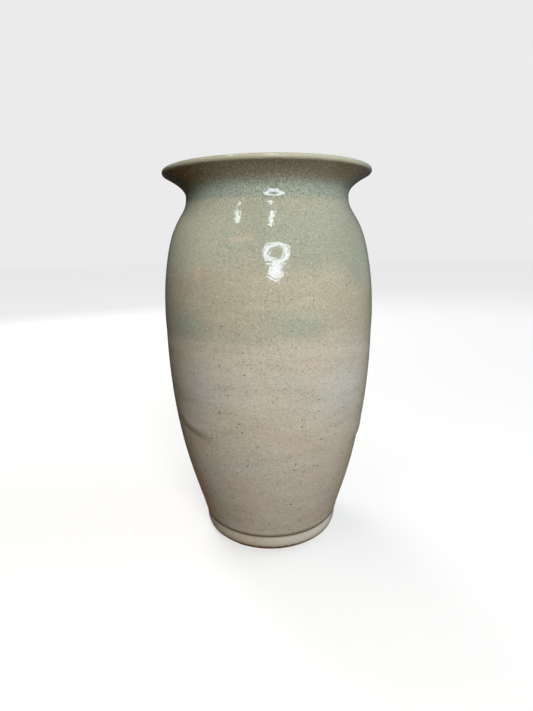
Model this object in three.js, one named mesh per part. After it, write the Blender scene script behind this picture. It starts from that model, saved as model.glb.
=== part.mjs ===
// A wheel-thrown stoneware vase with a flared rim and a rolled foot, dipped in three glazes.
// Millimetres, +Z up. The origin is the middle of the foot, on the surface that the vase stands on.
//
// The clay is one thrown and trimmed piece. Each glaze is a thin closed skin that follows the clay, laid
// outwards in the order of dipping: the base glaze from the foot to the shoulder, the top glaze from the
// neck inside, over the lip and down onto the base glaze, and the liner glaze inside. Fired glaze is bonded
// to the clay, and the narrow gap called FILM stands for each bond.

import * as THREE from "three";

// Overall form, measured over the glaze.
const HEIGHT = 300;
const RIM_RADIUS = 80.7;
const NECK_RADIUS = 63.7;
const FLARE_HEIGHT = 18.9; // from the narrowest line of the neck to the top of the lip
const BELLY_RADIUS = 84.5;
const BELLY_HEIGHT = 176; // the widest line, above the table

// How full each curve of the outline is: the length of a curve's handle over the rise of its stretch.
const LOWER_LEAN = 13.5; // degrees that the wall leans out where it leaves the foot
const LOWER_FULLNESS = 0.16;
const BELLY_FULLNESS = 0.54;
const SHOULDER_FULLNESS = 0.92;
const NECK_FULLNESS = 0.2;
const FLARE_FULLNESS = 0.52;
const RIM_FULLNESS = 0.1;

// The lip: a rounded edge square to the flare.
const LIP_THICKNESS = 4;
const LIP_ANGLE = 32; // degrees above level at which the flare runs out

// The foot: a rolled bead under a turned groove, a ring that touches the table, and a hollowed underside.
const FOOT_RADIUS = 58.2; // the bead at its widest
const BEAD_HEIGHT = 9.3; // its widest line, above the table
const BEAD_ROUND = 10.5; // the radius of its section
const BEAD_DOWN = 45; // degrees of the bead below its widest line
const BEAD_UP = 28; // and above it
const GROOVE_WIDTH = 2.4;
const GROOVE_DEPTH = 2.8; // below the wall that rises from it
const GROOVE_LINE = 1 / 3; // how far up its width it is deepest
const WALL_STEP = 0.85; // how far the wall starts outside the bead
const EDGE_ROUND = 0.8; // the eased edge between the bead and the ring
const RING_WIDTH = 6;
const RING_CHAMFER = 0.8;
const RECESS_DEPTH = 3.5;
const RECESS_SLOPE = 2;

// The thickness of the clay.
const WALL = 5.2;
const FOOT_WALL = 7.5; // where the wall meets the floor
const FLOOR = 8;
const FLOOR_CORNER = 20; // the radius thrown between the floor and the wall
const CORNER_FULLNESS = 0.5;

// The glazes.
const BASE_COAT = 0.45;
const TOP_COAT = 0.4;
const LINER_COAT = 0.4;
const COAT_EDGE = 0.1; // the thin end of a coat
const COAT_TAPER = 4; // the height over which a coat thins to its end
const LAP_BOTTOM = 180; // where the top glaze stops on the base glaze
const LAP_TOP = 226; // where the base glaze stops under the top glaze
const LAP_LEDGE = 0.5; // the height in which the top glaze steps down from it onto the clay
const FILM = 0.06;
const SEAM = 0.1; // between the ends of the top and liner glazes

// How finely the round shape is faceted.
const FACETS = 36;
const LOWER_STEPS = 8;
const SHOULDER_STEPS = 9;
const FLARE_STEPS = 5;
const INSIDE_STEPS = 6;
const CORNER_STEPS = 4;
const BEAD_STEPS = 5;
const EDGE_STEPS = 3;
const LIP_STEPS = [2, 3, 1]; // under the lip, over its outer half and over its inner half
const MARK_CLEARANCE = 0.3; // how near a marked height an even station may come, in steps

const point = (radius, height) => new THREE.Vector2(radius, height);
const radians = THREE.MathUtils.degToRad;
const direction = (degrees) => point(Math.cos(radians(degrees)), Math.sin(radians(degrees)));
const outwards = (tangent) => point(tangent.y, -tangent.x);

// A cubic curve that leaves `start` along `first` and reaches `end` along `last`, both upwards.
function stretch(start, first, end, last) {
  return new THREE.CubicBezierCurve(start, start.clone().add(first), end.clone().sub(last), end);
}

// The points of an arc, from one angle to the other.
function arc(centre, radius, from, to, steps) {
  return Array.from({ length: steps + 1 }, (_, i) =>
    centre.clone().addScaledVector(direction(from + ((to - from) * i) / steps), radius),
  );
}

// The parameter of a rising curve at a height.
function reach(curve, height) {
  let low = 0;
  let high = 1;
  for (let i = 0; i < 40; i++) {
    const middle = (low + high) / 2;
    if (curve.getPoint(middle).y < height) low = middle;
    else high = middle;
  }
  return (low + high) / 2;
}

// Even parameters of a curve, with each height in `marks` among them in place of any too near it.
function parameters(curve, steps, marks = []) {
  const marked = marks.map((height) => reach(curve, height));
  const even = Array.from({ length: steps + 1 }, (_, i) => i / steps);
  const apart = even.filter((t) => marked.every((mark) => Math.abs(t - mark) > MARK_CLEARANCE / steps));
  return [...apart, ...marked].sort((a, b) => a - b);
}

// ---- The outline of the bare clay, inside the glaze by the skin that each place carries.
const baseSkin = FILM + BASE_COAT;
const topSkin = FILM + TOP_COAT;

const beadCentre = point(FOOT_RADIUS - baseSkin - BEAD_ROUND, BEAD_HEIGHT);
const bead = arc(beadCentre, BEAD_ROUND, -BEAD_DOWN, BEAD_UP, BEAD_STEPS);
const beadFoot = bead[0];
const beadTop = bead[BEAD_STEPS];
const wallStart = point(FOOT_RADIUS - baseSkin + WALL_STEP, beadTop.y + GROOVE_WIDTH);
const groove = point(wallStart.x - GROOVE_DEPTH, beadTop.y + GROOVE_WIDTH * GROOVE_LINE);

const belly = point(BELLY_RADIUS - baseSkin, BELLY_HEIGHT);
const neck = point(NECK_RADIUS - topSkin, HEIGHT - FLARE_HEIGHT);
const lipCentre = point(RIM_RADIUS - LIP_THICKNESS / 2, HEIGHT - LIP_THICKNESS / 2);
const lipRadius = LIP_THICKNESS / 2 - topSkin;
const lipUnder = lipCentre.clone().addScaledVector(direction(LIP_ANGLE - 90), lipRadius);

const lowerRise = belly.y - wallStart.y;
const shoulderRise = neck.y - belly.y;
const flareRise = lipUnder.y - neck.y;
const lower = stretch(
  wallStart,
  direction(90 - LOWER_LEAN).multiplyScalar(LOWER_FULLNESS * lowerRise),
  belly,
  point(0, BELLY_FULLNESS * lowerRise),
);
const shoulder = stretch(
  belly,
  point(0, SHOULDER_FULLNESS * shoulderRise),
  neck,
  point(0, NECK_FULLNESS * shoulderRise),
);
const flare = stretch(
  neck,
  point(0, FLARE_FULLNESS * flareRise),
  lipUnder,
  direction(LIP_ANGLE).multiplyScalar(RIM_FULLNESS * flareRise),
);

// ---- The stations: points on the bare clay, from the middle of the underside out and up to the lip, then
// down the inside to the middle of the floor. The clay lies to their left.
const heel = point(beadFoot.x - beadFoot.y * Math.tan(radians(BEAD_DOWN)), 0);
const ringOuter = heel.x - EDGE_ROUND;
const ringInner = ringOuter - RING_WIDTH;
const underside = [
  point(0, RECESS_DEPTH),
  point(ringInner - RING_CHAMFER - RECESS_SLOPE, RECESS_DEPTH),
  point(ringInner - RING_CHAMFER, RING_CHAMFER),
  point(ringInner, 0),
];
const edgeCurve = new THREE.QuadraticBezierCurve(point(ringOuter, 0), heel, beadFoot);
const edge = edgeCurve.getPoints(EDGE_STEPS).slice(0, -1);

const along = (curve, list) => list.map((t) => curve.getPoint(t));
const pastStart = (t) => t > 0;
const shoulderMarks = [
  LAP_BOTTOM,
  LAP_BOTTOM + COAT_TAPER,
  LAP_TOP - COAT_TAPER,
  LAP_TOP,
  LAP_TOP + LAP_LEDGE,
];
const outside = [
  ...along(lower, parameters(lower, LOWER_STEPS)),
  ...along(shoulder, parameters(shoulder, SHOULDER_STEPS, shoulderMarks).filter(pastStart)),
  ...along(flare, parameters(flare, FLARE_STEPS).filter(pastStart)),
];

const lipAngles = [LIP_ANGLE - 90, 0, 90, LIP_ANGLE + 90];
const lip = LIP_STEPS.flatMap((steps, i) =>
  arc(lipCentre, lipRadius, lipAngles[i], lipAngles[i + 1], steps).slice(1),
);

// The clay's thickness grows from the lip to the neck, and again from the belly to the foot.
function thickness(height) {
  const atLip = THREE.MathUtils.smoothstep(height, neck.y, lipUnder.y);
  const atFoot = 1 - THREE.MathUtils.smoothstep(height, floorTop, belly.y);
  return WALL + (2 * lipRadius - WALL) * atLip + (FOOT_WALL - WALL) * atFoot;
}

// Points of the inner face across the wall from a curve of the outer one, downwards.
function across(curve, list) {
  const inner = list.map((t) => {
    const outer = curve.getPoint(t);
    return outer.addScaledVector(outwards(curve.getTangent(t)), -thickness(outer.y));
  });
  return inner.reverse();
}

const floorTop = RECESS_DEPTH + FLOOR;
const cornerTop = reach(lower, floorTop + FLOOR_CORNER);
const pastCorner = (t) => t > cornerTop + MARK_CLEARANCE / INSIDE_STEPS;
const lowerInside = parameters(lower, INSIDE_STEPS).filter(pastCorner);
const neckInside = across(flare, parameters(flare, FLARE_STEPS).slice(0, -1));
const wallInside = [
  ...across(shoulder, parameters(shoulder, INSIDE_STEPS, [neck.y - SEAM])),
  ...across(lower, [cornerTop, ...lowerInside]).slice(1),
];
const wallFoot = wallInside.at(-1);
const down = lower.getTangent(cornerTop).negate();
const corner = new THREE.CubicBezierCurve(
  wallFoot,
  wallFoot.clone().addScaledVector(down, CORNER_FULLNESS * (wallFoot.y - floorTop)),
  point(wallFoot.x - CORNER_FULLNESS * FLOOR_CORNER, floorTop),
  point(wallFoot.x - FLOOR_CORNER, floorTop),
);
const floor = [...corner.getPoints(CORNER_STEPS).slice(1), point(0, floorTop)];

const stations = [
  ...underside,
  ...edge,
  ...bead,
  groove,
  ...outside,
  ...lip,
  ...neckInside,
  ...wallInside,
  ...floor,
];

// The way out of the clay at each station: the middle of the directions square to its two sides.
const faceNormals = stations
  .slice(1)
  .map((station, i) => outwards(station.clone().sub(stations[i]).normalize()));
const normals = stations.map((_, i) => {
  const before = faceNormals[i - 1] ?? faceNormals[i];
  const after = faceNormals[i] ?? before;
  return before.clone().add(after).normalize();
});

const stationIndex = (list, height) =>
  stations.indexOf(list.reduce((a, b) => (Math.abs(b.y - height) < Math.abs(a.y - height) ? b : a)));

// ---- Solids of revolution.
function turned(name, profile, material) {
  const geometry = new THREE.LatheGeometry(profile, FACETS);
  geometry.rotateX(Math.PI / 2);
  const mesh = new THREE.Mesh(geometry, material);
  mesh.name = name;
  return mesh;
}

// A coat over the stations from `first` to `last`: `under` is what lies between it and the clay at a
// station, and `depth` is the coat's own thickness there.
function coat(first, last, under, depth) {
  const back = [];
  const front = [];
  for (let i = first; i <= last; i++) {
    const start = under(i) + FILM;
    back.push(stations[i].clone().addScaledVector(normals[i], start));
    front.push(stations[i].clone().addScaledVector(normals[i], start + depth(i)));
  }
  const profile = [...back.reverse(), ...front];
  const endsOnAxis = stations[last].x === 0;
  return endsOnAxis ? profile : [...profile, profile[0]];
}

// The depth at a height of a coat that is `full` up to the height `from` and thins to COAT_EDGE at `end`.
function tapered(full, height, from, end) {
  return COAT_EDGE + (full - COAT_EDGE) * THREE.MathUtils.clamp((end - height) / (end - from), 0, 1);
}

const baseFirst = stations.indexOf(beadFoot);
const baseLast = stationIndex(outside, LAP_TOP);
const topFirst = stationIndex(outside, LAP_BOTTOM);
const topLast = stations.indexOf(neckInside.at(-1));
const linerFirst = topLast + 1;
const linerLast = stations.length - 1;

const baseDepth = (i) =>
  i > baseLast ? 0 : tapered(BASE_COAT, stations[i].y, LAP_TOP - COAT_TAPER, LAP_TOP);
const baseUnderTop = (i) => (i > baseLast ? 0 : baseDepth(i) + FILM);
const topDepth = (i) =>
  i > baseLast ? TOP_COAT : tapered(TOP_COAT, stations[i].y, LAP_BOTTOM + COAT_TAPER, LAP_BOTTOM);
const bare = () => 0;

// ---- The pieces.
const vase = new THREE.Group();
vase.name = "stoneware_vase";

const firedClay = new THREE.MeshStandardMaterial({ color: 0x8a6a4e, roughness: 0.85, metalness: 0 });
const oatmealGlaze = new THREE.MeshStandardMaterial({ color: 0xb4aa95, roughness: 0.32, metalness: 0 });
const sageGlaze = new THREE.MeshStandardMaterial({ color: 0x9fa68e, roughness: 0.18, metalness: 0 });
const paleGlaze = new THREE.MeshStandardMaterial({ color: 0xb9bca8, roughness: 0.22, metalness: 0 });

vase.add(turned("clay_body", stations, firedClay));
vase.add(turned("base_glaze", coat(baseFirst, baseLast, bare, baseDepth), oatmealGlaze));
vase.add(turned("top_glaze", coat(topFirst, topLast, baseUnderTop, topDepth), sageGlaze));
vase.add(turned("liner_glaze", coat(linerFirst, linerLast, bare, () => LINER_COAT), paleGlaze));

export default vase;
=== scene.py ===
import math

import bpy
from mathutils import Matrix, Vector, noise


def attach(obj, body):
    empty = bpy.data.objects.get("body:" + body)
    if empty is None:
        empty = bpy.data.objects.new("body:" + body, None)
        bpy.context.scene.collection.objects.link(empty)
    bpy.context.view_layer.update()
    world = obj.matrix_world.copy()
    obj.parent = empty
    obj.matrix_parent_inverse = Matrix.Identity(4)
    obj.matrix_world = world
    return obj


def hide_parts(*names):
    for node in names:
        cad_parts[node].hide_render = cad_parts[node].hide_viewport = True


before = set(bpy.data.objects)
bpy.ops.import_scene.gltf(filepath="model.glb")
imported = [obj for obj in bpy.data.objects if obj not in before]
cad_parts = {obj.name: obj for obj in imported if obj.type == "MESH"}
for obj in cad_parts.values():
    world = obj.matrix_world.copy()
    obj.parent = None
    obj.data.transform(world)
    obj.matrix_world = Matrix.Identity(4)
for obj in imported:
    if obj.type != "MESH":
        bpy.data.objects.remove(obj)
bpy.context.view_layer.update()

# ---- Clay body. One piece of buff stoneware, thrown on the wheel: a floor, a wall pulled up with a spiral
# of finger ridges, and a rim laid out in a flare. Turned over when leather-hard to trim the foot: a hollow,
# a ring to stand on, a rolled bead and a narrow groove above it.

MM = 0.001
ROUND = 192  # facets round the pot
SEAM = 0.005 * MM  # points closer than this are one point

# The outline in millimetres, from the axis and above the table: the start of each stretch, the two
# handles that shape it, its end, and the steps it is cut into. It runs from the middle of the underside
# out and up to the lip, and down the inside to the middle of the floor.
outline = [
    ((0, 3.5), (14, 3.5), (29, 3.5), (43.1, 3.5), 30),  # the hollow under the foot
    ((43.1, 3.5), (44.2, 3.4), (44.6, 0), (45.9, 0), 5),  # its edge
    ((45.9, 0), (48, 0), (50, 0), (51.9, 0), 4),  # the ring that stands on the table
    ((51.9, 0), (52.5, 0), (53.3, 0.55), (54.6, 1.9), 4),  # its eased outer edge
    ((54.6, 1.9), (57.88, 5.16), (58.63, 10.15), (56.46, 14.23), 12),  # the bead
    ((56.46, 14.23), (56.1, 14.7), (55.74, 14.8), (55.74, 15.1), 3),  # into the groove
    ((55.74, 15.1), (55.74, 15.7), (57.6, 15.9), (58.54, 16.7), 4),  # out of the groove
    ((58.54, 16.7), (64.49, 41.43), (83.99, 89.94), (83.99, 176), 104),  # the wall, up to the belly
    ((83.99, 176), (83.99, 272.7), (63.24, 260.1), (63.24, 281.1), 72),  # the shoulder, in to the neck
    ((63.24, 281.1), (63.24, 289.2), (78.2, 295.86), (79.52, 296.69), 18),  # the flare
    ((79.52, 296.69), (80.24, 297.15), (80.46, 298.1), (80.01, 298.82), 5),  # the lip's outer half
    ((80.01, 298.82), (79.55, 299.54), (78.6, 299.76), (77.88, 299.31), 5),  # the lip's inner half
    ((77.88, 299.31), (75.08, 297.55), (58.04, 291.58), (58.04, 281), 18),  # down inside the flare
    ((58.04, 281), (58.04, 259), (78.79, 269.6), (78.79, 176), 36),  # the shoulder's inside
    ((78.79, 176), (78.79, 102.95), (59.75, 47.97), (55.5, 33.56), 40),  # the wall's inside
    ((55.5, 33.56), (52.63, 23.8), (46, 11.5), (35.5, 11.5), 10),  # the corner thrown above the floor
    ((35.5, 11.5), (24, 11.5), (12, 11.5), (0, 11.5), 24),  # the floor
]


def laid(point):
    """A point of the outline as a place in metres, in the plane of the axis."""
    return (point[0] * MM, 0, point[1] * MM)


def drawn(start, first, last, end, steps):
    """A curve through one stretch of the outline."""
    bpy.ops.curve.primitive_bezier_curve_add()
    curve = bpy.context.object
    spline = curve.data.splines[0]
    spline.resolution_u = steps
    for knot, place, below, above in zip(spline.bezier_points, (start, end), (start, last), (first, end)):
        knot.handle_left_type = knot.handle_right_type = "FREE"
        knot.co, knot.handle_left, knot.handle_right = laid(place), laid(below), laid(above)
    return curve


bpy.ops.object.select_all(action="DESELECT")
stretches = [drawn(*stretch) for stretch in outline]
for curve in stretches:
    curve.select_set(True)
bpy.ops.object.join()
bpy.ops.object.convert(target="MESH")
clay = bpy.context.object
clay.name = "clay"
bpy.ops.object.mode_set(mode="EDIT")
bpy.ops.mesh.select_all(action="SELECT")
bpy.ops.mesh.remove_doubles(threshold=SEAM)
bpy.ops.mesh.spin(steps=ROUND, angle=math.tau, center=(0, 0, 0), axis=(0, 0, 1))
bpy.ops.mesh.select_all(action="SELECT")
bpy.ops.mesh.remove_doubles(threshold=SEAM)
bpy.ops.mesh.normals_make_consistent(inside=False)
bpy.ops.object.mode_set(mode="OBJECT")

# The marks of the hands, in millimetres.
RIDGE_PITCH = 10.5  # how far the fingers rose in a turn, outside
RIDGE_DEPTH = 0.1
INNER_PITCH = 8.5  # and inside
INNER_DEPTH = 0.16
RIB_EASE = 0.7  # how much of the ridges a rib smoothed off the shoulder
WOBBLE = 0.3  # how far the wall is out of round
FOOT_WOBBLE = 0.28
LIP_DIP = 0.35  # how far the lip dips where the clay sagged
LEDGE_FADE = 15  # how far below a ledge the wall comes back out
SWIRL_PITCH = 7  # of the spiral left on the floor
SWIRL_DEPTH = 0.28
TRIM_PITCH = 1.9  # of the trimming tool's rings under the foot
TRIM_DEPTH = 0.07
HOLLOW_WAVER = 0.12  # how far the hollow's height drifts round the pot
LEFT_LEDGE = 104  # heights of the two ledges low on the wall
RIGHT_LEDGE = 90


def smooth(low, high, value):
    """0 at low, 1 at high, eased between them. Low may be above high."""
    share = min(max((value - low) / (high - low), 0), 1)
    return share * share * (3 - 2 * share)


def bearing(x, y):
    """Degrees round the pot from its front, growing to the right."""
    return math.degrees(math.atan2(x, -y))


def finger_marks(angle, height):
    """How far the outer wall lies inside the outline, in millimetres."""
    across = Vector((math.sin(math.radians(angle)), math.cos(math.radians(angle)), 0))
    drift = noise.noise(across * 0.7 + Vector((0, 0, height / 45)))
    ridge = 0.5 + 0.5 * math.cos(math.tau * (height / RIDGE_PITCH - angle / 360 + 0.5 * drift))
    strength = 0.55 + 0.9 * noise.noise(across * 1.1 + Vector((7, 0, height / 30)))
    strength *= 1 - RIB_EASE * smooth(165, 205, height)
    wobble = WOBBLE * (0.5 + 0.5 * noise.noise(across * 0.9 + Vector((0, 5, height / 55))))
    return RIDGE_DEPTH * ridge * max(strength, 0) + wobble


def ledges(angle, height):
    """The two places low on the wall where a pull stopped and left a step, in millimetres inwards."""
    left = LEFT_LEDGE + 0.009 * max(0, -36 - angle) ** 2
    left_share = smooth(-64, -54, angle) * smooth(-26, -44, angle)
    right = RIGHT_LEDGE - 0.05 * (angle - 70)
    right_share = smooth(45, 62, angle) * smooth(135, 105, angle)
    inwards = 0
    for edge, share, depth in ((left, left_share, 1.15), (right, right_share, 0.7)):
        below = edge - height
        inwards += depth * share * smooth(-3.6, 2.8, below) * math.exp(-max(below, 0) / LEDGE_FADE)
        inwards -= 0.6 * depth * share * math.exp(-((below + 7) / 5) ** 2)  # the swelling above it
    return inwards


def shaped(place):
    """Moves one point of the turned outline by the marks of the potter's hands."""
    radius, height = math.hypot(place.x, place.y) / MM, place.z / MM
    if radius < 0.01:
        return place
    angle = bearing(place.x, place.y)
    across = Vector((place.x, place.y, 0)).normalized()
    if height < 3.6 and radius < 52:  # under the foot, where only the ring on the table stays flat
        chatter = TRIM_DEPTH * math.sin(math.tau * radius / TRIM_PITCH) + 0.05 * noise.noise(place * 400)
        waver = HOLLOW_WAVER * smooth(0.02, 0.3, height) * noise.noise(across * 6)
        lift = chatter * smooth(44.5, 42, radius) + waver
        return Vector((place.x, place.y, place.z + lift * MM))
    if height < 11.8 and radius < 36:  # the floor inside
        swirl = math.sin(math.tau * (radius / SWIRL_PITCH + angle / 360))
        return Vector((place.x, place.y, place.z + SWIRL_DEPTH * swirl * smooth(1, 7, radius) * MM))
    inwards = 0
    if height > 1.8 and radius > 54 and (height < 20 or radius > 60):  # outside
        wall = smooth(16, 26, height) * smooth(293, 284, height)
        inwards = wall * (finger_marks(angle, height) + ledges(angle, height))
        sway = 0.5 + 0.5 * noise.noise(across * 2.6 + Vector((0, 0, height / 9)))
        inwards += FOOT_WOBBLE * (1 - wall) * sway
    elif height > 15:  # inside
        ridge = math.cos(math.tau * (height / INNER_PITCH - angle / 360))
        inwards = -INNER_DEPTH * ridge * smooth(290, 275, height)
    sag = 0.5 + 0.5 * noise.noise(across * 1.7 + Vector((3, 0, 0)))
    dip = LIP_DIP * smooth(284, 297, height) * sag
    return Vector((place.x, place.y, place.z)) - across * inwards * MM - Vector((0, 0, dip * MM))


for vertex in clay.data.vertices:
    vertex.co = shaped(vertex.co)
clay.data.update()
bpy.ops.object.shade_smooth_by_angle(angle=math.radians(50))


class Wash:
    """A value that varies over a piece. Arithmetic on it adds Math nodes to the piece's material."""

    def __init__(self, tree, socket=None):
        self.tree = tree
        self.socket = socket

    def node(self, kind, settings=None, values=None, output=0):
        """Any other node: its type, its settings, and the values or washes of its sockets."""
        made = self.tree.nodes.new("ShaderNode" + kind)
        for name, value in (settings or {}).items():
            setattr(made, name, value)
        for name, value in (values or {}).items():
            if isinstance(value, Wash):
                self.tree.links.new(value.socket, made.inputs[name])
            else:
                made.inputs[name].default_value = value
        return Wash(self.tree, made.outputs[output])

    def math(self, operation, first, second):
        return self.node("Math", {"operation": operation}, {0: first, 1: second})

    def __add__(self, other):
        return self.math("ADD", self, other)

    def __radd__(self, other):
        return self.math("ADD", other, self)

    def __sub__(self, other):
        return self.math("SUBTRACT", self, other)

    def __rsub__(self, other):
        return self.math("SUBTRACT", other, self)

    def __mul__(self, other):
        return self.math("MULTIPLY", self, other)

    def __rmul__(self, other):
        return self.math("MULTIPLY", other, self)

    def eased(self, low, high):
        """0 where this is low, 1 where it is high, eased between them. Either may be a wash."""
        values = {"Value": self, "From Min": low, "From Max": high}
        return self.node("MapRange", {"interpolation_type": "SMOOTHSTEP"}, values)

    def of(self, colour, rest):
        """This share of one colour over the rest."""
        return self.node("Mix", {"data_type": "RGBA"}, {0: self, 6: rest, 7: colour}, 2)

    def length(self):
        return self.node("VectorMath", {"operation": "LENGTH"}, {0: self}, output=1)


def fired(red, green, neck_blue_and_shade):
    """A colour as seen, 0 to 255, as the light it sends back."""
    seen = [channel / 255 for channel in (red, green, neck_blue_and_shade)]
    return (*[c / 12.92 if c <= 0.04045 else ((c + 0.055) / 1.055) ** 2.4 for c in seen], 1.0)


def new_finish(piece, name):
    """A new material on a piece: its nodes' start, and the place on the piece as a wash."""
    material = bpy.data.materials.new(name)
    material.use_nodes = True
    piece.data.materials.clear()
    piece.data.materials.append(material)
    start = Wash(material.node_tree)
    return start, start.node("TexCoord", output=3)


def along(place, axis):
    """Millimetres from the middle of the foot: 0 to the right, 1 to the back, 2 up."""
    return place.node("SeparateXYZ", values={0: place}, output=axis) * (1 / MM)


def stretched(place, x, y, z):
    return place.node("VectorMath", {"operation": "MULTIPLY"}, {0: place, 1: (x, y, z)})


def mottle(place, size, detail=2.0, roughness=0.5):
    """Soft patches of about a size in millimetres, from 0 to 1."""
    values = {"Vector": place, "Scale": 1 / (size * MM), "Detail": detail, "Roughness": roughness}
    return place.node("TexNoise", values=values)


def grains(place, spacing, size, share, softness=0.35):
    """Round spots of about a size, in a share of the cells of a spacing, in millimetres."""
    values = {"Vector": place, "Scale": 1 / (spacing * MM), "Randomness": 1.0}
    near = place.node("TexVoronoi", values=values)
    cell = place.node("TexVoronoi", values=values, output=1)
    pick = cell.node("SeparateColor", values={"Color": cell})
    girth = cell.node("SeparateColor", values={"Color": cell}, output=1)
    reach = (size / spacing / 2) * (0.45 + girth)
    spot = near.eased(reach, reach * (1 - softness))
    return spot * pick.eased(1 - share, 1 - share + 0.02)


def finished(start, colour, roughness, normal=None):
    """Feeds the material's shader."""
    shader = start.tree.nodes["Principled BSDF"]
    shader.inputs["IOR"].default_value = 1.5
    for name, value in (("Base Color", colour), ("Roughness", roughness), ("Normal", normal)):
        if isinstance(value, Wash):
            start.tree.links.new(value.socket, shader.inputs[name])
        elif value is not None:
            shader.inputs[name].default_value = value


# Warm tan with iron grains and pale grog, toasted darker on the ring that stood on the kiln shelf.
start, place = new_finish(clay, "fired_stoneware")
toast = along(place, 2).eased(0.4, 3.0)
flush = mottle(place, 9, 3).eased(0.35, 0.7)
tan = flush.of(fired(150, 120, 92), fired(171, 141, 110))
tan = toast.of(fired(112, 80, 56), tan)
grog = mottle(place, 0.7, 2)
tan = (grog.eased(0.5, 0.75) * 0.35).of(fired(201, 178, 148), tan)
iron = grains(place, 2.2, 0.7, 0.5)
tan = (iron * 0.8).of(fired(70, 46, 32), tan)
height = 0.6 * grog + 0.5 * mottle(place, 2.4, 2) - 0.5 * iron
tooth = height.node("Bump", values={"Height": height, "Distance": 0.09 * MM, "Strength": 1.0})
finished(start, tan, 0.72 + 0.2 * grog, tooth)
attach(clay, "root")
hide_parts("clay_body")

# ---- Base glaze. A cream oatmeal stoneware glaze, poured and wiped: it runs from the foot ring to the
# shoulder, goes under the top glaze there, and gathers thicker in the groove. The iron in the clay burns
# through it as brown specks, and it fires to a satin.

BASE_DEPTH = 0.45
BASE_START = 1.9
BASE_END = 226
LAP_RUN = 26  # the height over which the base glaze thins out under the top glaze
POOL_DEPTH = 0.75  # what gathers in the groove
POOL_HEIGHT = 15.2
FILM = 0.06  # what parts a glaze from what it lies on
THIN = 0.07  # a glaze at its very edge


def poured(name, covers):
    """A copy of the clay's skin, where covers(radius, height, outwards) says that a glaze lies on it."""
    bpy.ops.object.select_all(action="DESELECT")
    clay.select_set(True)
    bpy.context.view_layer.objects.active = clay
    bpy.ops.object.duplicate()
    coat = bpy.context.object
    coat.name = name
    for mark in list(coat.keys()):  # a coat doesn't stand for the clay that it was copied from
        del coat[mark]
    bpy.ops.object.mode_set(mode="EDIT")
    bpy.ops.mesh.select_all(action="DESELECT")
    bpy.ops.object.mode_set(mode="OBJECT")
    for face in coat.data.polygons:
        middle, normal = face.center, face.normal
        outwards = normal.dot(Vector((middle.x, middle.y, 0)).normalized())
        face.select = not covers(math.hypot(middle.x, middle.y) / MM, middle.z / MM, outwards)
    bpy.ops.object.mode_set(mode="EDIT")
    bpy.ops.mesh.select_mode(type="FACE")
    bpy.ops.mesh.delete(type="FACE")
    bpy.ops.object.mode_set(mode="OBJECT")
    return coat


def weighed(coat, name, share):
    """A vertex group that holds share(height, outer) at each point."""
    group = coat.vertex_groups.new(name=name)
    for vertex in coat.data.vertices:
        outer = vertex.normal.dot(Vector((vertex.co.x, vertex.co.y, 0)).normalized()) > 0
        group.add([vertex.index], share(vertex.co.z / MM, outer), "REPLACE")
    return group.name


def thickened(coat, lift, lift_share, depth, depth_share):
    """Lifts a coat off what lies under it, by up to lift, and gives it up to a depth of its own."""
    raised = coat.modifiers.new("lift", "DISPLACE")
    raised.mid_level = 0
    raised.strength = lift * MM
    raised.vertex_group = weighed(coat, "lift", lift_share)
    bpy.ops.object.modifier_apply(modifier="lift")
    skin = coat.modifiers.new("depth", "SOLIDIFY")
    skin.thickness = depth * MM
    skin.offset = 1
    skin.vertex_group = weighed(coat, "depth", depth_share)
    bpy.ops.object.modifier_apply(modifier="depth")
    coat.vertex_groups.clear()
    bpy.ops.object.shade_smooth_by_angle(angle=math.radians(60))


def under_base(radius, height, outwards):
    return BASE_START < height < BASE_END and radius > 54 and outwards > 0.02


def base_depth(height, outer):
    """The glaze is wiped thin above the foot ring, gathers in the groove and thins out under the lap."""
    pool = POOL_DEPTH * math.exp(-((height - POOL_HEIGHT) / 1.6) ** 2)
    full = BASE_DEPTH * smooth(1.7, 4.5, height) * smooth(BASE_END, BASE_END - LAP_RUN, height)
    return min((THIN + full + pool) / (BASE_DEPTH + POOL_DEPTH), 1)


base = poured("base_coat", under_base)
for vertex in base.data.vertices:  # the wiped lower edge wanders a little
    sway = 0.5 * noise.noise(vertex.co * 60) + 0.3 * noise.noise(vertex.co * 170)
    vertex.co += Vector((0, 0, sway * smooth(5, 2, vertex.co.z / MM) * MM))
base.data.update()
thickened(base, FILM, lambda *_: 1.0, BASE_DEPTH + POOL_DEPTH, base_depth)

SHOULDER = 240  # above this height a patch lies on the shoulder, and below it on the belly
BELLY_RADIUS, SHOULDER_RADIUS = 84, 72


def patch(place, angle, height, wide, high):
    """A soft patch centred at an angle and a height, of a half width and a half height."""
    lean = math.radians(angle)
    radius = BELLY_RADIUS if height < SHOULDER else SHOULDER_RADIUS
    centre = (radius * MM * math.sin(lean), -radius * MM * math.cos(lean), height * MM)
    off = place.node("VectorMath", {"operation": "SUBTRACT"}, {0: place, 1: centre})
    return stretched(off, 1 / (wide * MM), 1 / (wide * MM), 1 / (high * MM)).length().eased(1.0, 0.1)


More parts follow.
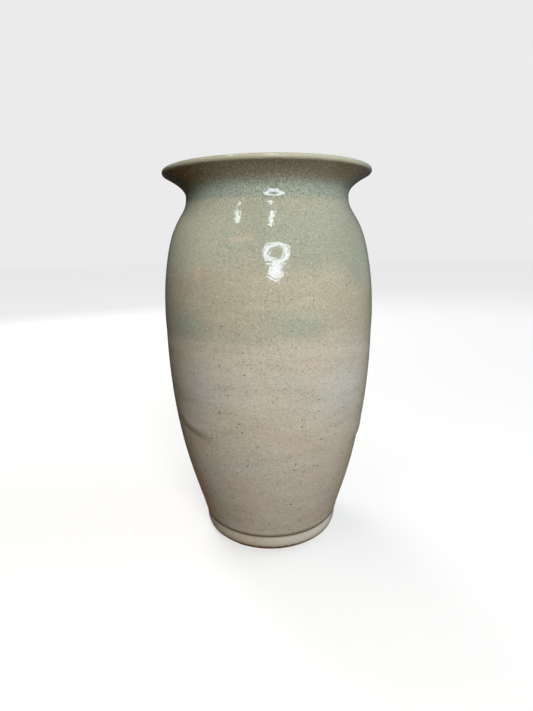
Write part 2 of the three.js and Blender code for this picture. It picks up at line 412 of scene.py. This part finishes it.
def oatmeal(place, up):
    """The base glaze's colour: warm cream, greyer towards the foot, in soft bands left by the wheel, with a
    painted sheen in two pale bluish patches on the belly, and warming to sand where the top glaze begins."""
    grey = (up + 26 * mottle(stretched(place, 1, 1, 2.4), 60, 2)).eased(150, 60)
    colour = grey.of(fired(170, 163, 150), fired(174, 168, 153))
    band = mottle(stretched(place, 0.25, 0.25, 1), 9, 4, 0.62)
    colour = (band.eased(0.5, 0.68) * 0.35).of(fired(188, 182, 168), colour)
    colour = (band.eased(0.5, 0.33) * 0.36).of(fired(148, 138, 120), colour)
    cloud = mottle(stretched(place, 1, 1, 1.4), 30, 3)
    colour = (cloud.eased(0.5, 0.66) * 0.42).of(fired(166, 168, 160), colour)
    colour = (cloud.eased(0.48, 0.34) * 0.35).of(fired(174, 160, 142), colour)
    # painted sheen: two soft pale bluish patches, front left and front right of the belly
    painted_sheen = patch(place, -38, 142, 32, 30) + patch(place, 40, 142, 36, 40)
    colour = (painted_sheen * (0.2 + 0.4 * cloud)).of(fired(170, 175, 174), colour)
    sand = (up + 14 * (cloud - 0.5)).eased(170, 194)
    return sand.of(fired(158, 153, 134), colour)


def burnt(place, up, colour):
    """Adds the iron that burns through a glaze: fine mottling, then dust, specks and the odd blot, which
    show more low on the pot."""
    fine = mottle(place, 1.1, 3, 0.7)
    colour = (fine.eased(0.52, 0.7) * 0.45).of(fired(198, 194, 180), colour)
    colour = (fine.eased(0.48, 0.3) * 0.6).of(fired(104, 98, 80), colour)
    crowd = mottle(place, 24, 2).eased(0.3, 0.7)
    dust = grains(place, 1.9, 0.8, 0.6, 0.7)
    colour = (dust * (0.3 + 0.35 * crowd)).of(fired(104, 84, 64), colour)
    low = up.eased(250, 90)
    specks = grains(place, 3.9, 1.3, 0.55, 0.6)
    colour = (specks * (0.45 + 0.5 * low)).of(fired(88, 66, 48), colour)
    blots = grains(place, 8.5, 1.5, 0.6, 0.6)
    colour = (blots * (0.3 + 0.5 * low)).of(fired(84, 58, 44), colour)
    return colour, specks, fine


def rippled(place, fine, specks, size, depth):
    """The skin of a fired glaze: an orange peel of a size and a depth, with the specks as small dimples."""
    height = mottle(place, size, 0) + 0.5 * mottle(place, 8, 1) + 0.2 * fine - 0.3 * specks
    return height.node("Bump", values={"Height": height, "Distance": depth * MM, "Strength": 1.0})


start, place = new_finish(base, "oatmeal_glaze")
up = along(place, 2)
colour, specks, fine = burnt(place, up, oatmeal(place, up))
# On the bead, warmer to the left and paler and bluer to the right: the pale blue is a painted sheen.
bead = up.eased(15.0, 13.0)
sheen_to_right = along(place, 0).eased(-30, 40)
colour = (bead * 0.5).of(sheen_to_right.of(fired(184, 183, 174), fired(162, 153, 134)), colour)
# painted shade in the groove and on the wall just above it
groove_shade = up.eased(13.2, 14.8) * up.eased(19.5, 16.2)
colour = (groove_shade * 0.9).of(fired(84, 72, 54), colour)
wiped = (up + 2.6 * (mottle(place, 5, 3) - 0.5)).eased(6.8, 5.2)  # thin, and brown with clay
colour = (wiped * 0.9).of(fired(96, 68, 46), colour)
finished(start, colour, 0.23 + 0.03 * fine, rippled(place, fine, specks, 2.6, 0.024))
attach(base, "root")
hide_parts("base_glaze")

# ---- Top glaze. A sage celadon, dipped upside down over the rim, so that it covers the inside of the
# flare, the lip and the shoulder, and laps over the base glaze as far as the belly. Alone on the clay it
# is a clear green; over the base glaze it melts to a warm sand with blue-green clouds. Glossy.

TOP_DEPTH = 0.4
LAP_END = 180
NECK_SEAM = 281
OVER_BASE = BASE_DEPTH + 0.1  # how much further out it lies where the base glaze is under it


def under_top(radius, height, outwards):
    return (outwards > 0 and height > LAP_END) or height > NECK_SEAM


def top_lift(height, outer):
    over_base = smooth(BASE_END + 14, BASE_END - 20, height) if outer else 0
    return (FILM + OVER_BASE * over_base) / (FILM + OVER_BASE)


def top_depth(height, outer):
    return 0.04 + 0.96 * (smooth(LAP_END - 1, LAP_END + 10, height) if outer else 1)


top = poured("top_coat", under_top)
thickened(top, FILM + OVER_BASE, top_lift, TOP_DEPTH, top_depth)

start, place = new_finish(top, "sage_glaze")
across, back, up = (along(place, axis) for axis in range(3))
ragged = mottle(place, 9, 3)

# The sand of the lap: paler streaks, and blue-green clouds, loose in front and in a ring behind.
colour = oatmeal(place, up)
streak = mottle(stretched(place, 0.25, 0.25, 1), 8, 2)
colour = (streak.eased(0.5, 0.7) * 0.35).of(fired(176, 170, 148), colour)
clouds = [  # angle, height, half width, half height, strength
    (-48, 192, 40, 20, 0.5),
    (-38, 188, 24, 12, 0.3),
    (10, 194, 36, 18, 0.42),
    (18, 189, 26, 12, 0.3),
    (-12, 183, 34, 9, 0.25),
]
bank = sum(patch(place, *cloud) * strength for *cloud, strength in clouds)
broken = mottle(stretched(place, 1, 1, 0.7), 42, 2).eased(0.5, 0.7) * 0.5
bank = bank + back.eased(-10, 40) * (up.eased(181, 190) * up.eased(206, 194) * broken)
colour = (bank * (0.55 + 0.9 * ragged)).of(fired(138, 150, 136), colour)

# The green of the shoulder, paler to both sides, where the paler colour is a painted sheen, with a few
# peach blushes. Its lower border wanders and drops to the right.
wander = mottle(stretched(place, 1, 1, 1.6), 38, 3)
border = up + 34 * (wander - 0.5) + 9 * (ragged - 0.5) + across.eased(40, 76) * 18
side_sheen = across.eased(0, -52) + across.eased(58, 78)
green = side_sheen.of(fired(160, 164, 146), fired(138, 142, 126))
colour = (border.eased(218, 242) * 0.95).of(green, colour)
blushes = [(-14, 248, 12, 5), (-9, 250, 7, 5), (-36, 228, 8, 10), (-14, 275, 10, 4)]
blush = sum(patch(place, *spot) for spot in blushes) * (0.25 + 0.9 * ragged)
colour = (blush * 0.8).of(fired(192, 168, 140), colour)

# Bluer in the neck, with painted shade darkening the blue to the left, above a pale line, and thin and
# brown under the flare, with painted shade there, darkest to the left, and a painted sheen paler to the
# right.
neck = (up + 3 * (ragged - 0.5)).eased(273.5, 279)
# the darker colour to the left is painted shade
neck_blue_and_shade = across.eased(-35, -62).of(fired(104, 122, 116), fired(132, 144, 132))
colour = (neck * 0.85).of(neck_blue_and_shade, colour)
line = up.eased(255, 270) * up.eased(278, 273) * (0.25 + 0.4 * across.eased(-10, -50))
colour = line.of(fired(172, 170, 150), colour)
# under the flare: the glaze's own thin brown, darkened by painted shade that is darkest to the left, and
# paler to the right in a painted sheen
underside_brown_and_shade = across.eased(30, 70).of(fired(152, 148, 130), fired(130, 123, 101))
underside_brown_and_shade = across.eased(-20, -66).of(fired(94, 86, 64), underside_brown_and_shade)
colour = (up.eased(284, 291) * 0.9).of(underside_brown_and_shade, colour)
colour, specks, fine = burnt(place, up, colour)

# Salted light and dark above the neck, and a pale lip.
salt = mottle(place, 1.1, 2, 0.6)
crowded = up.eased(262, 282)
colour = (salt.eased(0.52, 0.62) * crowded * 0.3).of(fired(164, 172, 158), colour)
colour = (salt.eased(0.47, 0.38) * crowded * 0.45).of(fired(104, 106, 88), colour)
lip = (up + 1.4 * (ragged - 0.5)).eased(295.6, 297.2)
colour = (lip * 0.85).of(fired(159, 159, 139), colour)
dull = up.eased(225, 185)
finished(start, colour, 0.03 + 0.02 * fine + 0.15 * dull, rippled(place, fine, specks, 1.4, 0.04))
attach(top, "root")
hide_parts("top_glaze")

# ---- Liner glaze. A pale sage glaze swilled round the inside and tipped out. It runs from the neck down
# to the floor, where it is thickest and greenest. Glossy and watertight.

LINER_DEPTH = 0.4


def under_liner(radius, height, outwards):
    return 10 < height < NECK_SEAM and outwards < 0.02 and (height > 12.5 or radius < 44)


def liner_depth(height, outer):
    return 0.6 + 0.4 * smooth(40, 14, height)


liner = poured("liner_coat", under_liner)
thickened(liner, FILM, lambda *_: 1.0, LINER_DEPTH, liner_depth)
start, place = new_finish(liner, "pale_liner_glaze")
up = along(place, 2)
cloud = mottle(stretched(place, 1, 1, 0.35), 30, 3)
colour = cloud.eased(0.35, 0.65).of(fired(178, 184, 166), fired(192, 192, 172))
pool = (up + 8 * (cloud - 0.5)).eased(34, 12)
colour = (pool * 0.7).of(fired(142, 156, 140), colour)
colour, specks, fine = burnt(place, up, colour)
finished(start, colour, 0.1 + 0.05 * fine, rippled(place, fine, specks, 2.6, 0.02))
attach(liner, "root")
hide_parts("liner_glaze")

# ---- Studio. A plain pale floor and a pale surround. A ring lamp on its stand, in front, and two long
# tubes overhead make the highlights on the glaze. Broad lamps, which the glaze doesn't mirror, light the
# pot from the front and a little to the right, from the right side, from overhead and from behind.

bpy.ops.object.select_all(action="DESELECT")
bpy.ops.mesh.primitive_plane_add(size=12, location=(0, 0, -0.0002))
floor = bpy.context.object
floor.name = "floor"
bpy.ops.object.transform_apply()
start, place = new_finish(floor, "pale_paper")
paper = mottle(place, 3, 2).of(fired(158, 158, 157), fired(162, 162, 161))
finished(start, paper, 0.9)
shader = start.tree.nodes["Principled BSDF"]
shader.inputs["Specular IOR Level"].default_value = 0.0

# The floor glows a little, more so further out, where less lamplight falls.
glow = place.length().eased(0.2, 1.5).of((1, 1, 1, 1), (0.66, 0.66, 0.66, 1))
start.tree.links.new(glow.socket, shader.inputs["Emission Color"])
shader.inputs["Emission Strength"].default_value = 0.79
floor.visible_glossy = False
floor.visible_diffuse = False

# What the glaze mirrors: a dim room, darker to the left, a pale window low on the right, and a brown
# table below. The camera itself sees a plain pale backdrop.
world = bpy.context.scene.world or bpy.data.worlds.new("studio")
bpy.context.scene.world = world
world.use_nodes = True
air = Wash(world.node_tree)
direction = air.node("TexCoord")
side = air.node("SeparateXYZ", values={0: direction})
rise = air.node("SeparateXYZ", values={0: direction}, output=2)
room = side.eased(-0.6, 0.8).of((0.075, 0.08, 0.09, 1), (0.03, 0.028, 0.026, 1))
table = rise.eased(-0.35, -0.62) * 0.9
room = table.of((0.2, 0.11, 0.05, 1), room)
window = side.eased(0.66, 0.9) * rise.eased(-0.08, -0.3) * rise.eased(-0.75, -0.5)
room = (window * 0.8).of((0.42, 0.46, 0.5, 1), room)
backdrop = air.node("LightPath")
room = backdrop.of((0.83, 0.83, 0.83, 1), room)
world.node_tree.links.new(room.socket, world.node_tree.nodes["Background"].inputs["Color"])

LIT = Vector((0, -0.07, 0.237))  # the middle of the shoulder's front, which the lamps face
UPRIGHT = (0, 0, 1)
WHITE = (1.0, 0.99, 0.98)
WARM = (1.0, 0.94, 0.86)
COOL = (0.8, 0.94, 1.0)
BLUISH = (0.8, 0.87, 1.0)


def lamp(name, turned, rising, distance, width, height, power, colour, shape="RECTANGLE", lying=UPRIGHT):
    """A lamp at a bearing and an elevation from the shoulder, its height lying along a direction."""
    light = bpy.data.lights.new(name, "AREA")
    light.shape = shape
    light.size = width
    light.size_y = height
    light.energy = power
    light.color = colour
    made = bpy.data.objects.new(name, light)
    bpy.context.scene.collection.objects.link(made)
    turn, rise = math.radians(turned), math.radians(rising)
    way = Vector((math.sin(turn) * math.cos(rise), -math.cos(turn) * math.cos(rise), math.sin(rise)))
    level = Vector(lying).cross(way).normalized()
    facing = Matrix((level, way.cross(level), way)).transposed().to_4x4()
    made.matrix_world = Matrix.Translation(LIT + way * distance) @ facing
    return made


ring = lamp("ring_lamp", 10, 24, 0.8, 0.41, 0.22, 3.1, BLUISH, "ELLIPSE")
stand = lamp("stand_lamp", 8, 13, 0.8, 0.22, 0.1, 0.8, BLUISH, "ELLIPSE")
left_tube = lamp("left_tube", -69, 64, 1.6, 0.12, 1.0, 4.4, COOL, lying=(0.18, 0.46, 0))
right_tube = lamp("right_tube", 11.5, 68, 1.5, 0.1, 1.0, 4.4, COOL, lying=(0, 1, 0))
for shining in (ring, stand, left_tube, right_tube):
    shining.visible_diffuse = False

ring.data.use_nodes = True  # dark in the middle
bulb = Wash(ring.data.node_tree)
spread = bulb.node("NewGeometry", output=5)
off = bulb.node("VectorMath", {"operation": "SUBTRACT"}, {0: spread, 1: (0.5, 0.5, 0)})
tube = off.length().eased(0.24, 0.3)
ring.data.node_tree.links.new(tube.socket, ring.data.node_tree.nodes["Emission"].inputs["Strength"])

broad = [  # name, bearing, elevation, distance, size, power, colour
    ("key", 15, 24, 1.2, 0.6, 10.6, WHITE),
    ("near_key", 13, 23, 0.8, 0.3, 4.6, WHITE),
    ("right_fill", 95, 46, 1.2, 0.6, 5.5, COOL),
    ("overhead", -60, 76, 1.2, 0.6, 6.2, WARM),
    ("back_key", -150, 32, 1.3, 0.7, 15, WHITE),
]
for name, turned, rising, distance, size, power, colour in broad:
    lamp(name, turned, rising, distance, size, size, power, colour).visible_glossy = False

EYE = (0, -0.37618, 0.24458)  # where the camera is held
DOWN, YAW, ROLL = 0.2408, 0.00589, -0.01453  # how it is turned, in radians
sight = bpy.data.cameras.new("camera")
sight.sensor_width = 36
sight.lens = 22.757
sight.clip_start = 0.01
sight.clip_end = 50
camera = bpy.data.objects.new("camera", sight)
bpy.context.scene.collection.objects.link(camera)
pitched = Matrix.Rotation(math.pi / 2 - DOWN, 4, "X")
turn = Matrix.Rotation(YAW, 4, "Z") @ pitched @ Matrix.Rotation(ROLL, 4, "Z")
camera.matrix_world = Matrix.Translation(EYE) @ turn
bpy.context.scene.camera = camera
bpy.context.scene.view_settings.view_transform = "Standard"
